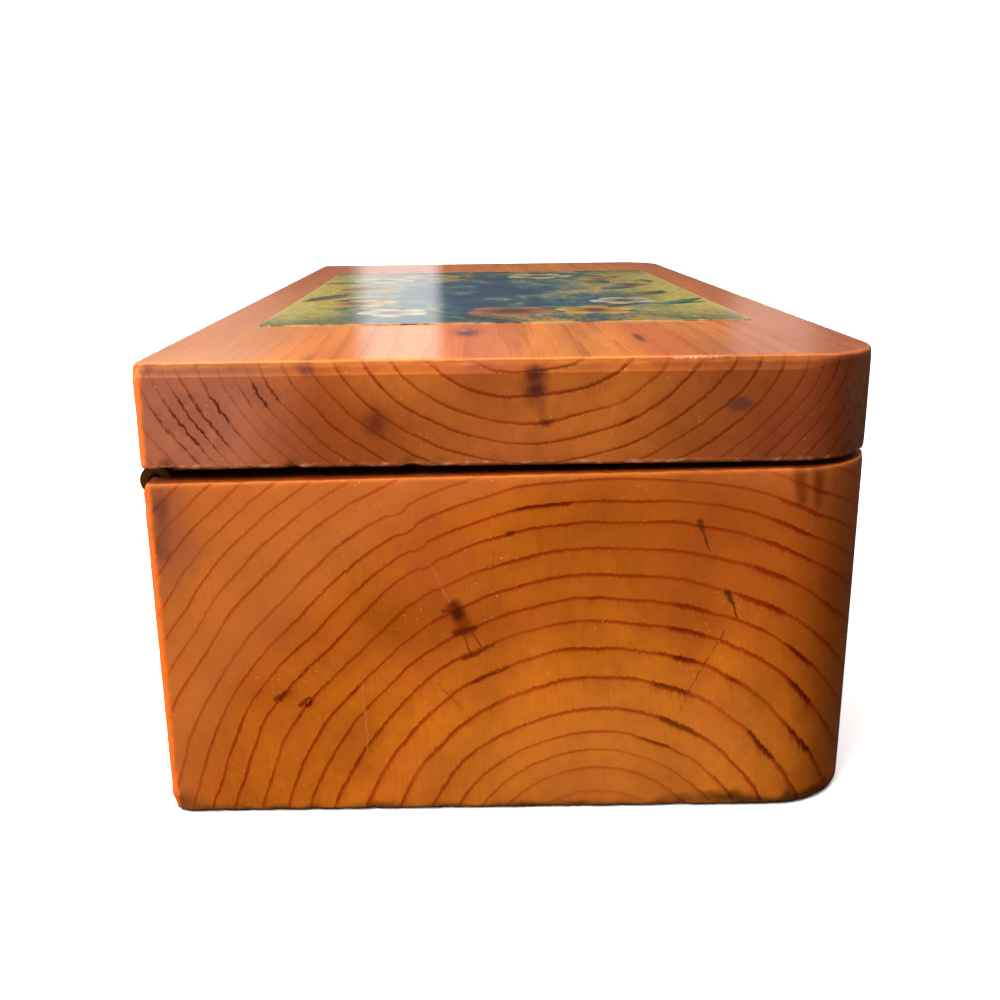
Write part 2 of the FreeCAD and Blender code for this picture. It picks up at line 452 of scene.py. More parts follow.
# Cedar figure: early wood, and in each ring a brown line of late wood that is darker in dashes and beads.
# Lines are narrow on the sawn ends and drawn out along the grain.
any_colour = (0.5, 0.5, 0.5, 1.0)
cedar_figure, given, send = open_group(
    "cedar figure",
    {
        "Rings": (0.0,),
        "Place": origin,
        "End Grain": (0.0,),
        "Stain": (0.0,),
        "Bleed": (0.2,),
        "Strength": (1.0,),
        "Early Wood": any_colour,
        "Late Wood": any_colour,
        "Ring Line": any_colour,
        "Stained Line": any_colour,
    },
    {"Colour": "Color", "Line": "Float", "Streak": "Float"},
)
along_grain = 1.0 - given["End Grain"]
sawn = cloud(given["Place"], (3.0, 0.4, 7.0), detail=4.0)
fibre = cloud(given["Place"], (34.0, 0.6, 0.6), detail=3.0)
streak = step(fibre + (sawn - fibre) * given["End Grain"], 0.28, 0.72)
grit = step(cloud(given["Place"], (0.8, 0.3, 0.4), detail=3.0, seed=4.0), 0.25, 0.75)
mottle = step(cloud(given["Place"], (8.0, 1.7, 1.7), seed=7.0), 0.3, 0.7)
jagged = given["Rings"] + (streak - 0.5) * (along_grain * 0.2 + 0.05) + (grit - 0.5) * 0.04 - 0.08
ring = calc("FLOOR", jagged)
phase = calc("FRACT", jagged)
tone = Signal(add_node("TexWhiteNoise", None, ring, noise_dimensions="1D").outputs["Value"])
dash = cloud(given["Place"], (60.0, 5.0, 5.0), 1.0, seed=ring * 5.3) + given["Stain"] * 0.42
bead = cloud(given["Place"], (8.0, 1.1, 1.1), 1.0, seed=ring * 3.1)
dark = calc("MAXIMUM", step(dash, 0.60, 0.88), step(bead, 0.64, 0.78) * 0.6)
faded = step(cloud(given["Place"], (60.0, 8.0, 8.0), 2.0, seed=ring * 2.7), 0.34, 0.60)
width = dark * 0.03 + given["Stain"] * 0.06 + along_grain * 0.10 + faded * 0.04 + 0.13
late = step(phase, 0.95 - width, 0.91) * step(phase, 0.995, 0.945)
depth = (dark * 0.40 + given["Stain"] * 0.16 + tone * 0.14 + faded * 0.26 + 0.38) * given["Strength"]
line = calc("MINIMUM", late * depth * (1.0 - along_grain * 0.6), 1.0)
bleed = step(phase + (streak - 0.5) * 0.4, 0.5, 1.0) * (dark * 0.4 + given["Bleed"])
wood = mix(bleed, given["Early Wood"], given["Late Wood"])
wood = scaled(wood, streak * (along_grain * 0.10 + 0.07) + grit * 0.10 + mottle * 0.12 + 0.86)
ring_line = scaled(mix(given["Stain"], given["Ring Line"], given["Stained Line"]), 1.0 - dark * 0.4)
send("Colour", mix(line, wood, ring_line))
send("Line", line)
send("Streak", streak)

# Uneven tint of the heartwood: rosy and brown clouds drawn out along the grain
cedar_tint, given, send = open_group(
    "rosy and brown clouds",
    {"Place": origin, "Colour": any_colour, "Rose": any_colour, "Seed": (0.0,)},
    {"Colour": "Color"},
)
rosy = step(cloud(given["Place"], (110.0, 22.0, 22.0), seed=given["Seed"]), 0.42, 0.68)
brown = step(cloud(given["Place"], (60.0, 8.0, 11.0), detail=3.0, seed=given["Seed"] + 4.0), 0.28, 0.72)
send("Colour", scaled(mix(rosy * 0.45, given["Colour"], given["Rose"]), brown * 0.3 + 0.84))

# A place pushed about by noise, so that marks drawn on it get ragged outlines, in mm
ragged_place, given, send = open_group(
    "ragged place", {"Place": origin, "Size": (1.0,), "Amount": (1.0,)}, {"Place": "Vector"}
)
push = add_node("TexNoise", scaled(given["Place"], calc("DIVIDE", 1.0, given["Size"])), None, 1.0, 2.0)
push = vector("SUBTRACT", Signal(push.outputs["Color"]), (0.5, 0.5, 0.5))
send("Place", vector("ADD", given["Place"], scaled(push, given["Amount"])))

# Mask of a short crack, check or scratch between two points, in mm
short_mark, given, send = open_group(
    "short mark",
    {"Place": origin, "From": origin, "To": (0.0, 0.0, 1.0), "Half Width": (0.3,), "Taper": (0.0,)},
    {"Mask": "Float"},
)
run = vector("SUBTRACT", given["To"], given["From"])
offset = vector("SUBTRACT", given["Place"], given["From"])
reached = measure("DOT_PRODUCT", offset, run) / measure("DOT_PRODUCT", run, run)
reached = calc("MINIMUM", calc("MAXIMUM", reached, 0.0), 1.0)
beside = measure("LENGTH", vector("SUBTRACT", offset, scaled(run, reached)))
send("Mask", step(beside / (given["Half Width"] * (1.0 - given["Taper"] * reached)), 1.6, 0.3))

# Mask of a soft patch, such as a knot's stain, in mm
soft_patch, given, send = open_group(
    "soft patch",
    {"Place": origin, "Centre": origin, "Reach": (5.0, 5.0, 5.0), "Softness": (0.5,)},
    {"Mask": "Float"},
)
off_centre = vector("DIVIDE", vector("SUBTRACT", given["Place"], given["Centre"]), given["Reach"])
send("Mask", step(measure("LENGTH", off_centre), given["Softness"] + 1.0, 1.0 - given["Softness"]))

# Rubbed edges, from the nearness that is stored on each point
rubbed_edge, given, send = open_group(
    "rubbed edge", {"Place": origin, "Low": (0.35,), "High": (0.75,)}, {"Mask": "Float"}
)
patchy = cloud(given["Place"], (2.6, 2.6, 2.6), detail=4.0) * 1.4 + 0.15
send("Mask", step(stored(given["Place"], "near_edge") * patchy, given["Low"], given["High"]))

# Marks in the lacquer: pale specks in loose clusters, fine scratches and a faint haze of handling
lacquer_marks, given, send = open_group(
    "lacquer marks", {"Place": origin}, {"Speck": "Float", "Scratch": "Float", "Haze": "Float"}
)
uneven = lay(ragged_place, Place=given["Place"], Size=0.5, Amount=0.5)["Place"]
dots = add_node("TexVoronoi", vector("DIVIDE", uneven, (0.9, 0.9, 0.9)), None, 1.0)
chosen = parts(Signal(dots.outputs["Color"]))[0]
clusters = step(cloud(given["Place"], (9.0, 6.0, 6.0), detail=3.0), 0.49, 0.64)
send("Speck", step(Signal(dots.outputs["Distance"]), 0.17, 0.05) * step(chosen, 0.5, 0.9) * clusters)
askew = Signal(add_node("VectorRotate", given["Place"], None, None, None, (0.7, 0.5, 0.9)).outputs[0])
askew.socket.node.rotation_type = "EULER_XYZ"
sheets = calc("ABSOLUTE", cloud(askew, (6.0, 70.0, 70.0), detail=0.0) - 0.5)
broken = step(cloud(askew, (3.0, 16.0, 16.0), detail=1.0, seed=9.0), 0.60, 0.72)
send("Scratch", step(sheets, 0.007, 0.002) * broken)
send("Haze", cloud(given["Place"], (12.0, 9.0, 9.0), detail=4.0, seed=3.0))


def ring_count(radius, growth, reach):
    """Rings inside a radius; growth is (rings, ring width) from the pith on, the last out to the reach."""
    radii = []
    outermost = 0.0
    for rings, ring_width in growth:
        radii += [outermost + ring_width * (k + 1) for k in range(rings)]
        outermost = radii[-1]
    while outermost < reach:
        outermost += growth[-1][1]
        radii.append(outermost)
    curve = add_node("FloatCurve", None, radius / outermost)
    points = curve.mapping.curves[0].points
    for count, at in enumerate(radii[:-1]):
        points.new(at / outermost, (count + 1) / len(radii))
    for point in points:
        point.handle_type = "VECTOR"
    curve.mapping.update()
    return Signal(curve.outputs[0]) * float(len(radii))


def open_material(name):
    """New node material and the place on the piece in mm."""
    material = bpy.data.materials.new(name)
    material.use_nodes = True
    material.node_tree.nodes.clear()
    place = material.node_tree.nodes.new("ShaderNodeTexCoord").outputs["Object"]
    return material, scaled(Signal(place), 1.0 / mm)


def facing(place):
    """The three parts of the way the surface faces."""
    return parts(Signal(place.tree.nodes.new("ShaderNodeNewGeometry").outputs["Normal"]))


def end_grain(place):
    """1 on the two sawn ends, 0 along the grain."""
    return step(calc("ABSOLUTE", facing(place)[0]), 0.55, 0.9)


def finish_surface(colour, roughness, height, height_mm, **others):
    """Principled surface with a bump; its other sockets are given by name."""
    surface = colour.tree.nodes.new("ShaderNodeBsdfPrincipled")
    bump = colour.tree.nodes.new("ShaderNodeBump")
    bump.inputs["Distance"].default_value = height_mm * mm
    feed(bump.inputs["Height"], height)
    feed(surface.inputs["Normal"], Signal(bump.outputs[0]))
    feed(surface.inputs["Base Color"], colour)
    feed(surface.inputs["Roughness"], roughness)
    for label, term in others.items():
        feed(surface.inputs[label.replace("_", " ")], term)
    output = colour.tree.nodes.new("ShaderNodeOutputMaterial")
    feed(output.inputs["Surface"], Signal(surface.outputs[0]))


def back_edge_highlight(place):
    """1 on the upright back edges, which get a painted highlight for the light from the hinge side."""
    x, y, _ = parts(place)
    off_x = half_length / mm - calc("ABSOLUTE", x)
    off_y = back_face / mm - y
    off_edge = calc("SQRT", off_x * off_x + off_y * off_y)
    uneven = cloud(place, (1.2, 1.2, 2.0), detail=4.0, seed=12.0) - 0.5
    return step(off_edge + uneven * 2.0, back_corner / mm * 1.1, back_corner / mm * 0.5)


def at_end(y, z):
    """A place on the near end, in mm."""
    return (near_end, y, z)


base_wood, place = open_material("lacquered_cedar_base")
ends = end_grain(place)
ridge = lay(short_mark, Place=place, From=at_end(17.0, 48.0), To=at_end(11.2, 36.5), Half_Width=1.1)["Mask"]
base_swell = (
    lay(grain_swell, Place=place, Centre=at_end(-44.0, 40.0), Reach=30.0, Amount=-1.7)["Swell"]
    + lay(grain_swell, Place=place, Centre=at_end(28.0, 28.5), Reach=15.0, Amount=1.5)["Swell"]
    + ridge * 0.5
)
base_radius = lay(
    pith_distance,
    Place=place,
    Pith=(near_end, -11.35, -10.35),
    Stretch=0.974,
    Lean=(0.0, 0.0295, 0.048),
    Swell=base_swell,
    Seed=1.7,
)["Radius"]
# Growth from the pith outwards: how many rings, and how wide each is in mm
base_growth = ((2, 5.0), (2, 4.0), (2, 3.0), (1, 3.8), (2, 4.9), (1, 4.4))
base_growth += ((2, 3.6), (2, 4.1), (3, 3.2), (1, 4.0), (4, 3.0))
rough_place = lay(ragged_place, Place=place, Size=1.6, Amount=0.7)["Place"]
cloudy_place = lay(ragged_place, Place=place, Size=5.0, Amount=6.0)["Place"]
# Stretches from the pith outwards where the late wood is darker, in dashes on one ring after another
base_dark_rays = (
    (at_end(-22.0, 11.0), at_end(-25.0, 32.5), 2.6),
    (at_end(-36.0, 10.0), at_end(-43.5, 8.0), 2.4),
    (at_end(-41.0, 24.0), at_end(-42.0, 14.0), 2.2),
    (at_end(-34.5, 31.5), at_end(-41.0, 50.0), 3.2),
    (at_end(-1.0, 46.4), at_end(-7.0, 47.2), 1.2),
    (at_end(35.0, 19.0), at_end(29.8, 18.0), 1.3),
)
dark_rays = [
    lay(short_mark, Place=cloudy_place, From=start, To=finish, Half_Width=half_width)["Mask"]
    for start, finish, half_width in base_dark_rays
]
figure = lay(
    cedar_figure,
    Rings=ring_count(base_radius, base_growth, reach=130.0),
    Place=place,
    End_Grain=ends,
    Stain=calc("MINIMUM", sum(dark_rays[1:], dark_rays[0]), 1.0),
    Bleed=0.25,
    Strength=step(base_radius, 13.0, 26.0) * 0.55 + step(base_radius, 42.0, 54.0) * 0.10 + 0.42,
    Early_Wood=display(215, 113, 25),
    Late_Wood=display(166, 70, 8),
    Ring_Line=display(128, 32, 0),
    Stained_Line=display(90, 12, 0),
)
colour = lay(cedar_tint, Place=place, Colour=figure["Colour"], Rose=display(190, 84, 34), Seed=2.0)["Colour"]
# The middle rings are darker and redder, the outer ones paler and pinker
colour = mix(step(base_radius, 38.0, 46.0) * 0.28, colour, display(150, 60, 14))
colour = mix(step(base_radius, 60.0, 68.0) * 0.40, colour, display(208, 116, 62))
# The knot and its cracks, small checks, dark ring ends and two scratches: from, to, half width, taper, colour
base_marks = (
    (at_end(8.0, 31.0), at_end(7.0, 28.8), 1.15, 0.0, display(128, 48, 12)),
    (at_end(8.6, 32.2), at_end(8.0, 31.0), 1.0, 0.2, display(40, 8, 4)),
    (at_end(10.0, 31.6), at_end(8.6, 31.9), 0.34, 0.2, display(112, 42, 10)),
    (at_end(8.5, 28.2), at_end(5.7, 29.0), 0.46, 0.2, display(92, 26, 4)),
    (at_end(7.3, 24.2), at_end(3.1, 26.3), 0.36, 0.4, display(104, 32, 4)),
    (at_end(5.9, 20.7), at_end(1.0, 22.8), 0.30, 0.5, display(110, 36, 4)),
    (at_end(7.4, 28.0), at_end(6.4, 25.2), 0.16, 0.0, display(120, 50, 12)),
    (at_end(6.0, 28.4), at_end(4.8, 25.8), 0.16, 0.3, display(120, 50, 12)),
    (at_end(-25.4, 44.2), at_end(-26.0, 42.2), 0.44, 0.6, display(66, 42, 14)),
    (at_end(-26.0, 42.2), at_end(-27.1, 40.0), 0.18, 0.5, display(84, 44, 14)),
    (at_end(-29.7, 33.7), at_end(-30.5, 32.2), 0.48, 0.5, display(66, 42, 14)),
    (at_end(-30.5, 32.2), at_end(-31.4, 29.8), 0.22, 0.5, display(84, 44, 14)),
    (at_end(-29.7, 27.9), at_end(-26.2, 21.4), 0.12, 0.0, display(138, 62, 14)),
    (at_end(-26.2, 21.4), at_end(-23.4, 14.9), 0.12, 0.4, display(138, 62, 14)),
    (at_end(11.1, 20.5), at_end(6.4, 14.7), 0.10, 0.4, display(140, 64, 14)),
    (at_end(34.4, 18.3), at_end(33.2, 19.5), 0.34, 0.4, display(104, 24, 4)),
    (at_end(30.8, 17.5), at_end(29.6, 18.6), 0.38, 0.4, display(104, 24, 4)),
    (at_end(0.9, 42.8), at_end(0.2, 43.0), 0.46, 0.2, display(96, 30, 6)),
    (at_end(11.6, 38.2), at_end(9.3, 32.8), 0.16, 0.3, display(214, 116, 70)),
    (at_end(22.0, 23.0), at_end(21.4, 8.0), 0.10, 0.0, display(206, 124, 58)),
    (at_end(-38.6, 52.0), at_end(-39.4, 47.2), 1.1, 0.3, display(126, 54, 12)),
    (at_end(-41.4, 52.0), at_end(-42.0, 46.2), 1.2, 0.3, display(118, 46, 10)),
)
for start, finish, half_width, taper, mark_colour in base_marks:
    mark = lay(short_mark, Place=rough_place, From=start, To=finish, Half_Width=half_width, Taper=taper)
    colour = mix(mark["Mask"] * 0.85, colour, mark_colour)
# Tinted and stained places, cloudy at their edges, and a painted shade: centre, reach, strength, colour
base_patches = (
    (at_end(49.0, 43.5), (8.0, 4.5, 8.0), 0.55, display(134, 74, 58)),
    (at_end(48.5, 46.0), (5.0, 1.4, 2.6), 0.5, display(92, 48, 40)),
    (at_end(49.5, 41.0), (5.0, 1.2, 2.2), 0.5, display(92, 48, 40)),
    (at_end(12.0, 39.5), (10.0, 7.0, 6.0), 0.4, display(182, 78, 40)),
    (at_end(-22.0, 45.5), (20.0, 16.0, 7.0), 0.36, display(136, 52, 18)),
    (at_end(16.0, 30.0), (9.0, 9.0, 4.0), 0.3, display(140, 56, 4)),
    (at_end(35.5, 19.0), (6.0, 3.5, 2.5), 0.2, display(140, 56, 14)),
    (at_end(-16.0, 8.0), (20.0, 22.0, 12.0), 0.22, display(222, 136, 64)),
    (at_end(49.0, 1.0), (6.0, 3.0, 2.2), 0.6, display(72, 48, 24)),
    (at_end(-37.0, 0.6), (9.0, 13.0, 1.5), 0.8, display(44, 24, 10)),
    # Painted shade down the round front corner and the front face beside it, away from the light
    (at_end(-47.0, 30.0), (60.0, 9.0, 40.0), 0.34, display(116, 36, 0)),
)
for centre, reach, strength, patch_colour in base_patches:
    patch = lay(soft_patch, Place=cloudy_place, Centre=centre, Reach=reach, Softness=0.7)["Mask"]
    colour = mix(patch * strength, colour, patch_colour)
# The late wood stays red under those tints
colour = mix(figure["Line"], colour, vector("MULTIPLY", colour, (1.06, 0.68, 0.2)))
marks = lay(lacquer_marks, Place=place)
worn = lay(rubbed_edge, Place=place, Low=0.42, High=0.9)["Mask"]
bare = stored(place, "bare_wood")
colour = mix(worn * 0.2, colour, display(228, 132, 60))
# Painted highlight: bright orange on the upright back edges, for the light from the hinge side
colour = mix(back_edge_highlight(place) * 0.85, colour, display(255, 116, 38))
# Grime along the foot, and the rim darker where the lid shuts on it: part grime, part painted shade
grime = parts(place)[2] - cloud(place, (5.0, 5.0, 5.0), detail=3.0, seed=5.0) * 3.2
colour = mix(step(grime, 0.0, -1.5) * 0.75, colour, display(58, 36, 22))
rim_grime_and_shade = step(facing(place)[2], 0.80, 0.96) * step(parts(place)[2], 46.0, 48.0)
colour = mix(rim_grime_and_shade * 0.65, colour, display(108, 30, 4))
colour = mix(marks["Speck"] * (ends * 0.25 + 0.5), colour, display(246, 190, 128))
colour = mix(marks["Scratch"] * (1.0 - ends) * 0.2, colour, display(236, 170, 110))
colour = mix(bare * 0.45, colour, display(196, 126, 76))
finish_surface(
    colour,
    marks["Haze"] * 0.22 + bare * 0.25 + 0.36,
    figure["Streak"] * (0.6 - ends * 0.4) - figure["Line"] * 0.4,
    height_mm=0.06,
    Coat_Weight=(0.95 - ends * 0.83) * (1.0 - worn * 0.7) * (1.0 - bare),
    Coat_Roughness=0.09,
    Coat_IOR=1.5,
    Specular_IOR_Level=0.1,
)
base.data.materials.clear()
base.data.materials.append(base_wood)
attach(base, "base")
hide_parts("base_block")

# Hinge leaves
# Two strips of rolled brass that run nearly the length of the box, their edges curled into knuckles. One is
# let into the rim and the other lies against the lid; both have gone brown where fingers don't reach.
tarnish, given, send = open_group(
    "tarnish",
    {"Place": origin, "Bright": any_colour, "Dull": any_colour, "Spread": (0.5,)},
    {"Colour": "Color", "Roughness": "Float", "Brushing": "Float"},
)
blotch = cloud(given["Place"], (26.0, 7.0, 7.0), detail=4.0)
freckle = cloud(given["Place"], (0.8, 0.8, 0.8), detail=2.0, seed=2.0)
brushing = cloud(given["Place"], (12.0, 0.15, 0.15), detail=2.0)
dulled = step(blotch * 0.85 + freckle * 0.15, 0.60 - given["Spread"] * 0.4, 0.96 - given["Spread"] * 0.4)
send("Colour", scaled(mix(dulled, given["Bright"], given["Dull"]), brushing * 0.3 + 0.85))
send("Roughness", dulled * 0.25 + brushing * 0.15 + 0.38)
send("Brushing", brushing * 0.5 + freckle * 0.5)


def dress_metal(node, name, bright, dull, spread):
    """Gives a metal piece a tarnished finish."""
    material, place = open_material(name)
    skin = lay(tarnish, Place=place, Bright=bright, Dull=dull, Spread=spread)
    finish_surface(skin["Colour"], skin["Roughness"], skin["Brushing"], height_mm=0.02, Metallic=1.0)
    for slot in frame["nodes"][node].material_slots:
        slot.material = material


for leaf in ("hinge_base_leaf", "hinge_lid_leaf"):
    dress_metal(leaf, leaf + "_brass", display(196, 152, 84), display(128, 90, 48), 0.6)

# Hinge pin
# A length of mild steel wire pushed through the knuckles, with its ends rounded over and a little rust.
dress_metal("hinge_pin", "pin_steel_wire", display(112, 104, 96), display(66, 42, 28), 0.7)

# Hinge screws
# Small slotted brass wood screws with countersunk heads, five to a leaf, their slots left as they stopped.
for screws in ("hinge_base_screws", "hinge_lid_screws"):
    dress_metal(screws, screws + "_brass", display(226, 186, 108), display(150, 108, 58), 0.4)

# Lid slab
# A thick slab of the same cedar, sawn with its heart side up, its edges eased and the top of its two ends
# planed to a bevel. Lacquered on top and round the edges, glossier there than on the thirsty end grain.
lid_low, lid_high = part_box("lid_slab")
lid_top = lid_high.z
lid_bottom = lid_low.z
lid_round = 0.6 * mm
end_bevel_depth = 0.9 * mm
end_bevel_height = 1.9 * mm
bevel_foot = lid_top - end_bevel_height

bevel_lean = math.atan2(end_bevel_depth, end_bevel_height)
flat_reach = half_length - end_bevel_depth - lid_round * math.tan(math.pi / 4.0 - bevel_lean / 2.0)


def end_reach(level):
    """How far out the lid's ends come at a level: upright, then the bevel, then its rounded top edge."""
    if level > lid_top - lid_round * (1.0 - math.sin(bevel_lean)):
        return flat_reach + math.sqrt(max(0.0, lid_round**2 - (level - lid_top + lid_round) ** 2))
    return half_length - end_bevel_depth * max(0.0, level - bevel_foot) / end_bevel_height


def lid_loop(inset, level, near_edge=0.0, bare_wood=0.0):
    """A loop round the lid, planed back at the ends; on the flat top it keeps inside the loop before."""
    reach = end_reach(level)
    if level == lid_top:
        reach -= inset - lid_round
    plan = [Vector((max(-reach, min(reach, p.x)), p.y)) for p in box_plan(inset)]
    return loop(plan, level, near_edge, bare_wood)


lid_loops = [lid_loop(6.0 * mm, lid_bottom, bare_wood=1.0)]
lid_loops.append(lid_loop(2.0 * mm, lid_bottom, bare_wood=0.6))
lid_loops.append(lid_loop(0.8 * mm, lid_bottom, bare_wood=0.2))
for a in quarter_turn(4):
    level = lid_bottom + lid_round * (1.0 - math.cos(a))
    lid_loops.append(lid_loop(lid_round * (1.0 - math.sin(a)), level, near_edge=1.0))
wall_levels = [lid_bottom + lid_round + s * (bevel_foot - lid_bottom - lid_round) for s in bunched(18)]
wall_levels += [bevel_foot + s * (end_bevel_height - lid_round) for s in [0.0] + bunched(6)]
for level in wall_levels:
    edge_distance = min(level - lid_bottom - lid_round, lid_top - lid_round - level)
    lid_loops.append(lid_loop(0.0, level, near_edge=math.exp(-edge_distance / wear_reach)))
for a in quarter_turn(7):
    level = lid_top - lid_round * (1.0 - math.sin(a))
    lid_loops.append(lid_loop(lid_round * (1.0 - math.cos(a)), level, near_edge=1.0))
for inset in (0.75, 1.1, 1.8, 3.0, 6.0, 10.0, 15.0, 21.0, 28.0, 36.0, 44.0):
    lid_loops.append(lid_loop(inset * mm, lid_top, near_edge=math.exp(-inset * mm / wear_reach)))

lid = skin_loops("cedar_lid", lid_loops)
wear_edges(
    lid,
    rub_depth=0.14 * mm,
    rub_size=1.6 * mm,
    chips=(
        (Vector((-half_length, 47.0 * mm, lid_bottom)), 1.6 * mm, 0.5 * mm),
        (Vector((-half_length, 30.0 * mm, lid_bottom)), 1.3 * mm, 0.4 * mm),
        (Vector((-half_length, 14.0 * mm, lid_bottom)), 1.6 * mm, 0.4 * mm),
        (Vector((-half_length, back_face, lid_top)), 2.2 * mm, 0.5 * mm),
        (Vector((half_length, -20.0 * mm, lid_bottom)), 1.8 * mm, 0.4 * mm),
    ),
)
smooth_between(lid, sharp_angle=32.0)


def on_lid(x, y):
    """A place on the lid's top, in mm."""
    return (x, y, lid_top / mm)


lid_wood, place = open_material("lacquered_cedar_lid")
ends = end_grain(place)
lid_radius = lay(
    pith_distance,
    Place=place,
    Pith=(near_end, -1.51, 73.44),
    Stretch=1.266,
    Lean=(0.0, 0.0293, -0.114),
    Swell=lay(grain_swell, Place=place, Centre=at_end(-2.7, 64.0), Reach=7.0, Amount=0.8)["Swell"],
    Seed=5.1,
)["Radius"]
lid_growth = ((1, 5.0), (2, 2.4), (2, 3.6), (2, 3.0), (3, 2.5))
lid_growth += ((3, 1.6), (2, 2.1), (3, 1.5), (1, 2.2))
rough_place = lay(ragged_place, Place=place, Size=1.2, Amount=1.0)["Place"]
torn_place = lay(ragged_place, Place=place, Size=3.0, Amount=5.0)["Place"]
# Dark stain near the hinge that has broken up the rings
lid_stains = ((at_end(42.8, 59.3), (14.0, 5.4, 4.6)), (at_end(33.6, 63.0), (10.0, 2.4, 1.8)))
stains = [
    lay(soft_patch, Place=torn_place, Centre=centre, Reach=reach, Softness=0.5)["Mask"]
    for centre, reach in lid_stains
]
stained = stains[0] + stains[1]
stain_cloud = cloud(torn_place, (4.0, 1.6, 2.2), detail=3.0, seed=14.0)
torn_radius = lid_radius + stained * (cloud(place, (3.0, 1.0, 1.0), seed=17.0) - 0.5)
figure = lay(
    cedar_figure,
    Rings=ring_count(torn_radius, lid_growth, reach=70.0),
    Place=place,
    End_Grain=ends,
    Stain=stained,
    Bleed=0.1,
    Early_Wood=display(206, 116, 40),
    Late_Wood=display(168, 76, 18),
    Ring_Line=display(116, 36, 2),
    Stained_Line=display(84, 30, 22),
)
colour = lay(cedar_tint, Place=place, Colour=figure["Colour"], Rose=display(184, 82, 46), Seed=8.0)["Colour"]
colour = mix(step(lid_radius, 24.0, 34.0) * 0.35, colour, display(150, 72, 48))
# Knots, stains, tints and a painted shade on the end and the top: centre, reach, softness, strength, colour
lid_patches = (
    (at_end(44.0, 59.5), (12.0, 12.0, 10.0), 0.7, 0.5, display(206, 136, 98)),
    (at_end(27.7, 66.2), (6.0, 1.0, 0.9), 0.7, 0.6, display(92, 46, 44)),
    (at_end(23.0, 57.0), (20.0, 9.0, 6.0), 0.7, 0.45, display(132, 50, 8)),
    # Painted shade over the right-hand part of the near end and its round corner, away from the light
    (at_end(-38.0, 58.0), (30.0, 20.0, 14.0), 0.6, 0.5, display(108, 42, 16)),
    (at_end(-2.8, 63.6), (3.0, 1.5, 2.8), 0.8, 0.7, display(92, 36, 32)),
    (at_end(-2.6, 65.0), (2.0, 1.0, 0.9), 0.8, 0.7, display(66, 22, 20)),
    (at_end(-2.9, 62.8), (2.0, 1.1, 0.8), 0.8, 0.7, display(66, 22, 20)),
    (at_end(-3.6, 60.0), (2.0, 0.6, 2.0), 0.8, 0.3, display(116, 48, 28)),
    (at_end(-4.2, 58.2), (2.0, 1.0, 0.5), 0.7, 0.7, display(92, 28, 14)),
    (at_end(18.6, 58.6), (3.0, 1.5, 1.6), 0.8, 0.7, display(104, 44, 20)),
    (at_end(-30.0, 60.5), (3.0, 1.8, 0.9), 0.7, 0.7, display(84, 56, 46)),
    (on_lid(-60.0, 42.0), (60.0, 14.0, 2.0), 0.6, 0.25, display(238, 160, 82)),
    (on_lid(-80.0, -21.5), (32.0, 4.5, 2.0), 0.6, 0.5, display(184, 78, 34)),
    (on_lid(-82.0, 4.0), (24.0, 7.0, 2.0), 0.4, 0.38, display(216, 112, 84)),
    (on_lid(-72.4, 6.2), (6.4, 2.8, 2.0), 0.5, 0.55, display(156, 82, 74)),
    (on_lid(-73.4, 6.2), (3.8, 1.4, 2.0), 0.6, 0.8, display(112, 56, 66)),
    (on_lid(-70.2, 6.8), (1.6, 0.7, 2.0), 0.6, 0.5, display(206, 128, 112)),
    (on_lid(-82.0, -19.4), (4.8, 0.6, 2.0), 0.6, 0.85, display(96, 38, 22)),
)
for centre, reach, softness, strength, patch_colour in lid_patches:
    patch = lay(soft_patch, Place=rough_place, Centre=centre, Reach=reach, Softness=softness)["Mask"]
    colour = mix(patch * strength, colour, patch_colour)
broken_stain = calc("MINIMUM", stained * 1.4, 1.0) * step(stain_cloud, 0.36, 0.56)
colour = mix(broken_stain * 0.30, colour, display(134, 76, 64))
colour = mix(step(figure["Line"], 0.12, 0.5) * broken_stain * 0.8, colour, display(96, 40, 26))
colour = mix(figure["Line"], colour, vector("MULTIPLY", colour, (1.08, 0.92, 0.4)))
# The end grain has soaked up more lacquer and is darker; on the planed bevel, painted shade is added
_, lid_across, lid_level = parts(place)
planed = step(lid_level, bevel_foot / mm - 0.4, bevel_foot / mm + 0.8)
colour = mix(ends, colour, vector("MULTIPLY", colour, (0.82, 0.72, 0.92)))
# Painted shade on the upward-tilted bevel, most towards the hinge side, to hold back the light from above
colour = scaled(colour, 1.0 - ends * planed * (step(lid_across, 12.0, 44.0) * 0.24 + 0.24))
marks = lay(lacquer_marks, Place=place)
worn = lay(rubbed_edge, Place=place, Low=0.40, High=0.95)["Mask"]
bare = stored(place, "bare_wood")
colour = mix(worn * 0.22, colour, display(228, 134, 68))
# Painted highlight: bright orange on the upright back edges, for the light from the hinge side
colour = mix(back_edge_highlight(place) * 0.85, colour, display(255, 120, 44))
# Pale splinters on the lower edge, a front corner scuffed by lifting the lid, with a painted grey sheen,
# and a scuff on the bevel
splinter = step(cloud(place, (1.4, 1.4, 0.7), detail=4.0, seed=6.0), 0.50, 0.62)
splinter = splinter * step(lid_level, lid_bottom / mm + 1.0, lid_bottom / mm + 0.3) * step(bare, 0.15, 0.0)
colour = mix(splinter * 0.7, colour, display(236, 178, 142))
scuffs = step(cloud(place, (0.5, 0.5, 0.9), detail=4.0, seed=8.0), 0.50, 0.66)
corner_scuffs_and_sheen = lay(
    soft_patch,
    Place=rough_place,
    Centre=(near_end + 5.0, -49.0, 60.0),
    Reach=(7.0, 4.0, 8.0),
    Softness=0.5,
)["Mask"]
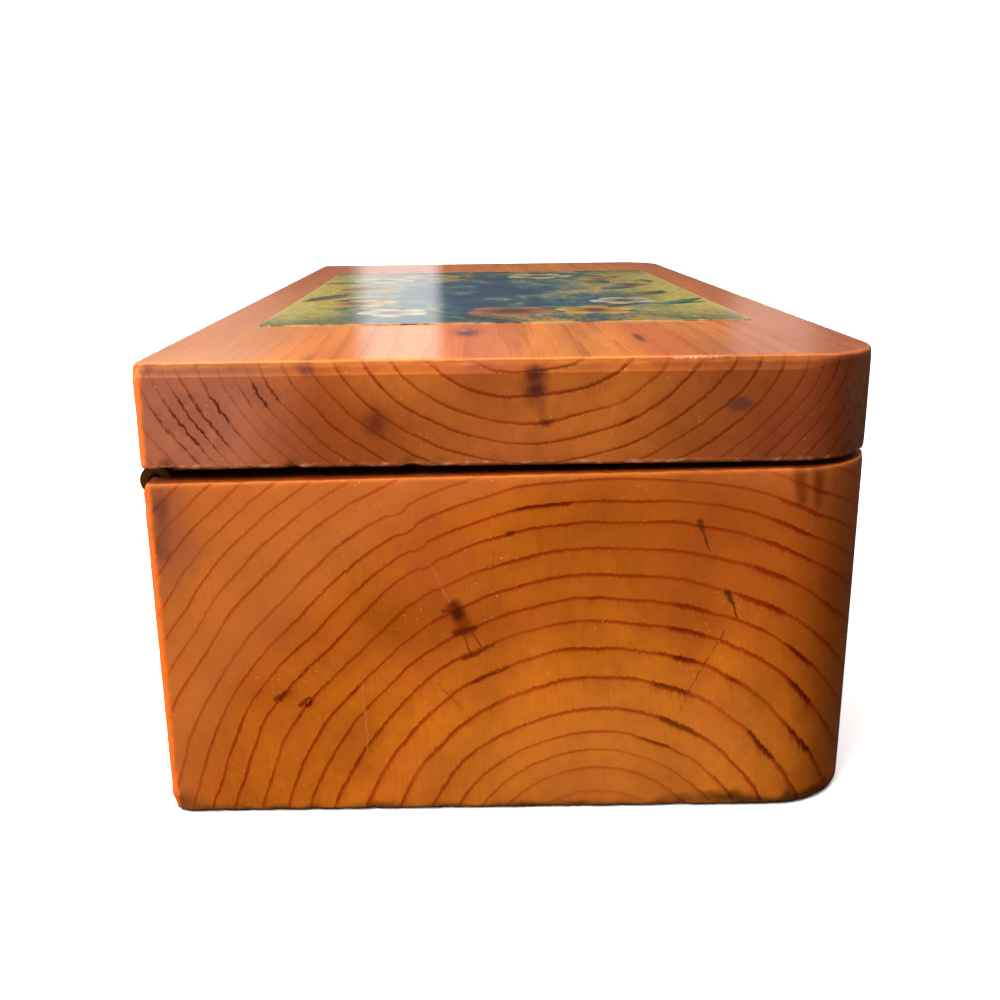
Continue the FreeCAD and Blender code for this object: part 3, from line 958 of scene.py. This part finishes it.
# Grey on the scuffed corner: scuffs in patches over an even painted grey sheen
colour = mix(corner_scuffs_and_sheen * (scuffs * 0.45 + 0.12), colour, display(156, 120, 104))
edge_scuff = lay(
    short_mark,
    Place=rough_place,
    From=(near_end + 0.8, -21.0, lid_top / mm),
    To=(near_end + 0.8, -27.5, lid_top / mm),
    Half_Width=0.4,
)["Mask"]
colour = mix(edge_scuff * (scuffs * 0.5 + 0.1), colour, display(252, 214, 180))
colour = mix(marks["Speck"] * (ends * 0.25 + 0.5), colour, display(246, 194, 138))
colour = mix(marks["Scratch"] * (1.0 - ends) * 0.2, colour, display(240, 180, 124))
colour = mix(bare * 0.5, colour, display(200, 128, 82))
finish_surface(
    colour,
    marks["Haze"] * 0.2 + bare * 0.25 + 0.34,
    figure["Streak"] * (0.6 - ends * 0.4) - figure["Line"] * 0.4,
    height_mm=0.05,
    Coat_Weight=(0.95 - ends * 0.80) * (1.0 - worn * 0.6) * (1.0 - bare),
    Coat_Roughness=0.09,
    Coat_IOR=1.5,
    Specular_IOR_Level=0.1,
)
lid.data.materials.append(lid_wood)
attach(lid, "lid")
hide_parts("lid_slab")

# Lid picture
# A printed sheet laid on the lid and lacquered over: a garland of blossoms and leaves round a dark middle,
# on a ground that turns yellow-green at the sides, inside a thin cream border that has rubbed away in places.
picture_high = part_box("lid_picture")[1]
picture_half_x = picture_high.x / mm
picture_half_y = picture_high.y / mm

painted_leaf, given, send = open_group(
    "painted leaf",
    {"Place": origin, "Centre": origin, "Turn": (0.0,), "Length": (12.0,), "Width": (5.0,)},
    {"Mask": "Float", "Side": "Float"},
)
terms = (given["Place"], given["Centre"], None, given["Turn"])
turned = Signal(add_node("VectorRotate", *terms, rotation_type="Z_AXIS").outputs[0])
run, beside, _ = parts(vector("SUBTRACT", turned, given["Centre"]))
run = run / given["Length"] * 2.0
beside = beside / given["Width"] * 2.0
bow = calc("MAXIMUM", 1.0 - run * run, 0.0) * (1.0 - run * 0.3)
send("Mask", step(bow - calc("ABSOLUTE", beside), 0.0, 0.18))
send("Side", step(beside, -0.12, 0.12))

painted_blossom, given, send = open_group(
    "painted blossom",
    {"Place": origin, "Centre": origin, "Turn": (0.0,), "Radius": (6.0,)},
    {"Mask": "Float", "Shade": "Float", "Heart": "Float"},
)
petal_x, petal_y, _ = parts(vector("SUBTRACT", given["Place"], given["Centre"]))
around = calc("ARCTAN2", petal_y, petal_x) + given["Turn"]
petal = calc("POWER", calc("ABSOLUTE", calc("COSINE", around * 2.5)), 0.5)
outward = calc("SQRT", petal_x * petal_x + petal_y * petal_y) / given["Radius"]
send("Mask", step(petal * 0.42 + 0.58 - outward, 0.0, 0.10))
send("Shade", step(outward, 0.15, 0.9) * (petal * 0.6 + 0.4))
send("Heart", step(outward, 0.30, 0.20))

print_ink, flat_place = open_material("lacquered_print")
brush = add_node("TexNoise", flat_place, None, 0.16, 3.0)
brush = vector("SUBTRACT", Signal(brush.outputs["Color"]), (0.5, 0.5, 0.5))
place = vector("ADD", flat_place, scaled(brush, 3.4))
mottle = cloud(place, (16.0, 9.0, 9.0), detail=4.0)
daub = cloud(place, (3.0, 1.2, 1.2), detail=3.0, seed=6.0)
ground_x, ground_y, _ = parts(place)
colour = mix(step(mottle, 0.35, 0.62), display(34, 56, 84), display(30, 104, 106))
to_side = calc("ABSOLUTE", ground_y) / picture_half_y
colour = mix(step(to_side + mottle * 0.6, 0.70, 1.25), colour, display(172, 160, 58))
colour = mix(step(to_side + daub * 0.5, 0.95, 1.35) * 0.8, colour, display(210, 184, 92))
to_end = calc("ABSOLUTE", ground_x) / picture_half_x
colour = mix(step(to_end + mottle * 0.7, 1.00, 1.40) * 0.85, colour, display(52, 62, 46))
colour = mix(step(mottle + daub * 0.3, 0.62, 0.86) * 0.6, colour, display(206, 156, 50))
leaf_tones = (
    (display(24, 66, 60), display(52, 112, 92)),
    (display(58, 44, 26), display(116, 86, 46)),
    (display(30, 50, 78), display(52, 96, 112)),
    (display(66, 74, 30), display(134, 130, 58)),
)
petal_tones = (
    (display(140, 84, 20), display(210, 160, 54)),
    (display(132, 112, 74), display(198, 184, 144)),
    (display(96, 48, 22), display(176, 102, 46)),
)
leaf_count = 34
blossom_count = 11
draw = random.Random(11)


def on_garland(share, out):
    """A place on a squarish ring round the picture's middle, by the share of the way round."""
    along = math.cos(2.0 * math.pi * share)
    across = math.sin(2.0 * math.pi * share)
    x = picture_half_x * out * math.copysign(abs(along) ** 0.6, along)
    return (x, picture_half_y * out * math.copysign(abs(across) ** 0.6, across), 0.0)


for k in range(leaf_count):
    foliage = lay(
        painted_leaf,
        Place=vector("MULTIPLY", place, (1.0, 1.0, 0.0)),
        Centre=on_garland((k + draw.uniform(-0.3, 0.3)) / leaf_count, draw.uniform(0.62, 0.92)),
        Turn=-2.0 * math.pi * k / leaf_count - 0.9 + draw.uniform(-0.7, 0.7),
        Length=draw.uniform(12.0, 20.0),
        Width=draw.uniform(4.0, 7.0),
    )
    shadowed, lit = leaf_tones[k % len(leaf_tones)]
    colour = mix(foliage["Mask"] * 0.9, colour, mix(foliage["Side"], shadowed, lit))
for k in range(blossom_count):
    flower = lay(
        painted_blossom,
        Place=place,
        Centre=on_garland((k + 0.4 + draw.uniform(-0.25, 0.25)) / blossom_count, draw.uniform(0.60, 0.78)),
        Turn=draw.uniform(0.0, 1.2),
        Radius=draw.uniform(5.5, 9.5),
    )
    shadowed, lit = petal_tones[k % len(petal_tones)]
    colour = mix(flower["Mask"] * 0.95, colour, mix(flower["Shade"], shadowed, lit))
    colour = mix(flower["Heart"] * 0.9, colour, display(72, 46, 26))
colour = scaled(colour, daub * 0.8 + 0.64)
edge_x = picture_half_x - calc("ABSOLUTE", parts(flat_place)[0])
edge_y = picture_half_y - calc("ABSOLUTE", parts(flat_place)[1])
border = step(calc("MINIMUM", edge_x, edge_y) + (daub - 0.5) * 0.7, 0.65, 0.3)
colour = mix(border * step(mottle + daub * 0.4, 0.60, 0.80) * 0.7, colour, display(222, 192, 140))
marks = lay(lacquer_marks, Place=flat_place)
colour = mix(marks["Scratch"] * 0.25, colour, display(220, 214, 186))
finish_surface(
    colour,
    marks["Haze"] * 0.2 + 0.3,
    daub,
    height_mm=0.01,
    Coat_Weight=1.0 - marks["Haze"] * 0.1,
    Coat_Roughness=0.06,
    Coat_IOR=1.5,
)
for slot in frame["nodes"]["lid_picture"].material_slots:
    slot.material = print_ink

# Floor, light and camera
# A pale paper sweep, soft light from above, from both long sides and on the near end, a dim window behind
# that shows as a pale stripe in the lid's lacquer, and a camera low in front of the near end.
floor_middle = 0.3
floor_radius = 1.1
sweep_bend = 0.7
wall_height = 2.4
sweep_sides = 64
sweep_profile = [(floor_middle, 0.0), (floor_radius, 0.0)]
for a in quarter_turn(10)[1:]:
    sweep_profile.append((floor_radius + sweep_bend * math.sin(a), sweep_bend * (1.0 - math.cos(a))))
sweep_profile.append((floor_radius + sweep_bend, wall_height))
sweep_turns = [2.0 * math.pi * k / sweep_sides for k in range(sweep_sides)]
sweep_faces = [tuple(range(sweep_sides))]
for row in range(len(sweep_profile) - 1):
    for k in range(sweep_sides):
        inner, outer = row * sweep_sides, (row + 1) * sweep_sides
        after = (k + 1) % sweep_sides
        sweep_faces.append((inner + k, outer + k, outer + after, inner + after))
sweep_mesh = bpy.data.meshes.new("paper_sweep")
sweep_points = [(r * math.cos(a), r * math.sin(a), z) for r, z in sweep_profile for a in sweep_turns]
sweep_mesh.from_pydata(sweep_points, [], sweep_faces)
sweep_mesh.shade_smooth()
sweep = bpy.data.objects.new("paper_sweep", sweep_mesh)
bpy.context.scene.collection.objects.link(sweep)
# Only the camera sees the sweep, so it neither mirrors in the lacquer nor lights the box
sweep.visible_glossy = False
sweep.visible_diffuse = False
sweep.visible_shadow = False
paper, place = open_material("white_paper")
paper_grain = cloud(place, (4.0, 4.0, 4.0), detail=3.0)
paper_tone = mix(paper_grain, (0.93, 0.93, 0.93, 1.0), (0.95, 0.95, 0.95, 1.0))
# The paper glows: faintly near the box, which lightens the shadow the box casts, and fully further out
wall_glow = step(measure("LENGTH", place), 260.0, 800.0)
finish_surface(
    paper_tone,
    paper_grain * 0.1 + 0.85,
    paper_grain,
    height_mm=0.05,
    Specular_IOR_Level=0.0,
    Emission_Color=mix(wall_glow, (0.1, 0.1, 0.1, 1.0), (1.0, 1.0, 1.0, 1.0)),
    Emission_Strength=1.0,
)
sweep_mesh.materials.append(paper)


def soft_light(name, place, aim, width, height, watts):
    """Rectangular soft box that neither the camera nor the lacquer shows."""
    light = bpy.data.lights.new(name, "AREA")
    light.shape = "RECTANGLE"
    light.size = width
    light.size_y = height
    light.energy = watts
    stand = bpy.data.objects.new(name, light)
    stand.location = place
    stand.rotation_euler = (Vector(aim) - Vector(place)).to_track_quat("-Z", "Y").to_euler()
    stand.visible_camera = False
    stand.visible_glossy = False
    bpy.context.scene.collection.objects.link(stand)


soft_light("overhead_soft_box", (0.25, 0.15, 1.2), (0.0, 0.0, 0.0), 1.3, 1.3, watts=20.5)
soft_light("near_end_soft_box", (-0.38, 0.30, 0.42), (-0.10, 0.03, 0.03), 0.34, 0.34, watts=4.8)
soft_light("hinge_side_soft_box", (0.35, 0.75, 0.25), (0.0, 0.0, 0.03), 0.5, 0.5, watts=4.0)
soft_light("front_soft_box", (0.7, -0.9, 0.5), (0.0, 0.0, 0.03), 0.8, 0.8, watts=9.0)

surround = bpy.data.worlds.new("studio_surround")
surround.use_nodes = True
background = surround.node_tree.nodes["Background"]
background.inputs["Color"].default_value = (1.0, 1.0, 1.0, 1.0)
look = Signal(surround.node_tree.nodes.new("ShaderNodeTexCoord").outputs["Generated"])
look_x, look_y, look_z = parts(look)
# Panes beyond the far end, which the lacquer on the lid mirrors
at_far_end = step(look_x, 0.55, 0.9)
window = step(look_y, 0.020, 0.036) * step(look_y, 0.112, 0.086)
left_wall = step(look_y, 0.13, 0.22)
right_pane = step(look_y, -0.215, -0.25) * step(look_y, -0.32, -0.28)
panes = window * 0.66 + left_wall * 0.19 + right_pane * 0.26
walls = step(look_z, -0.1, 0.15) * (1.0 - step(look_x, 0.2, 0.5) * 0.6) * 0.20
ceiling = step(look_z, 0.5, 0.95) * 0.35
feed(background.inputs["Strength"], at_far_end * panes + walls + ceiling + 0.02)
bpy.context.scene.world = surround
bpy.context.scene.view_settings.view_transform = "Standard"

# A pinhole camera fitted to the straight edges of the box, with its axis left of the middle
image_width = 1000.0
sensor_width = 36.0
focal_pixels = 1088.2
axis_pixel_x = 471.3
camera_place = (-0.2450, 0.0058, 0.0880)
camera_data = bpy.data.cameras.new("photo_camera")
camera_data.sensor_width = sensor_width
camera_data.lens = sensor_width * focal_pixels / image_width
camera_data.shift_x = (image_width / 2 - axis_pixel_x) / image_width
camera = bpy.data.objects.new("photo_camera", camera_data)
pitch, yaw, roll = (math.radians(angle) for angle in (15.722, 0.058, -0.789))
forward = Vector((math.cos(yaw) * math.cos(pitch), math.sin(yaw) * math.cos(pitch), -math.sin(pitch)))
level_right = forward.cross(Vector((0.0, 0.0, 1.0))).normalized()
level_up = level_right.cross(forward)
right = level_right * math.cos(roll) + level_up * math.sin(roll)
up = level_up * math.cos(roll) - level_right * math.sin(roll)
camera_turn = Matrix((right, up, -forward)).transposed().to_4x4()
camera.matrix_world = Matrix.Translation(camera_place) @ camera_turn
bpy.context.scene.collection.objects.link(camera)
bpy.context.scene.camera = camera
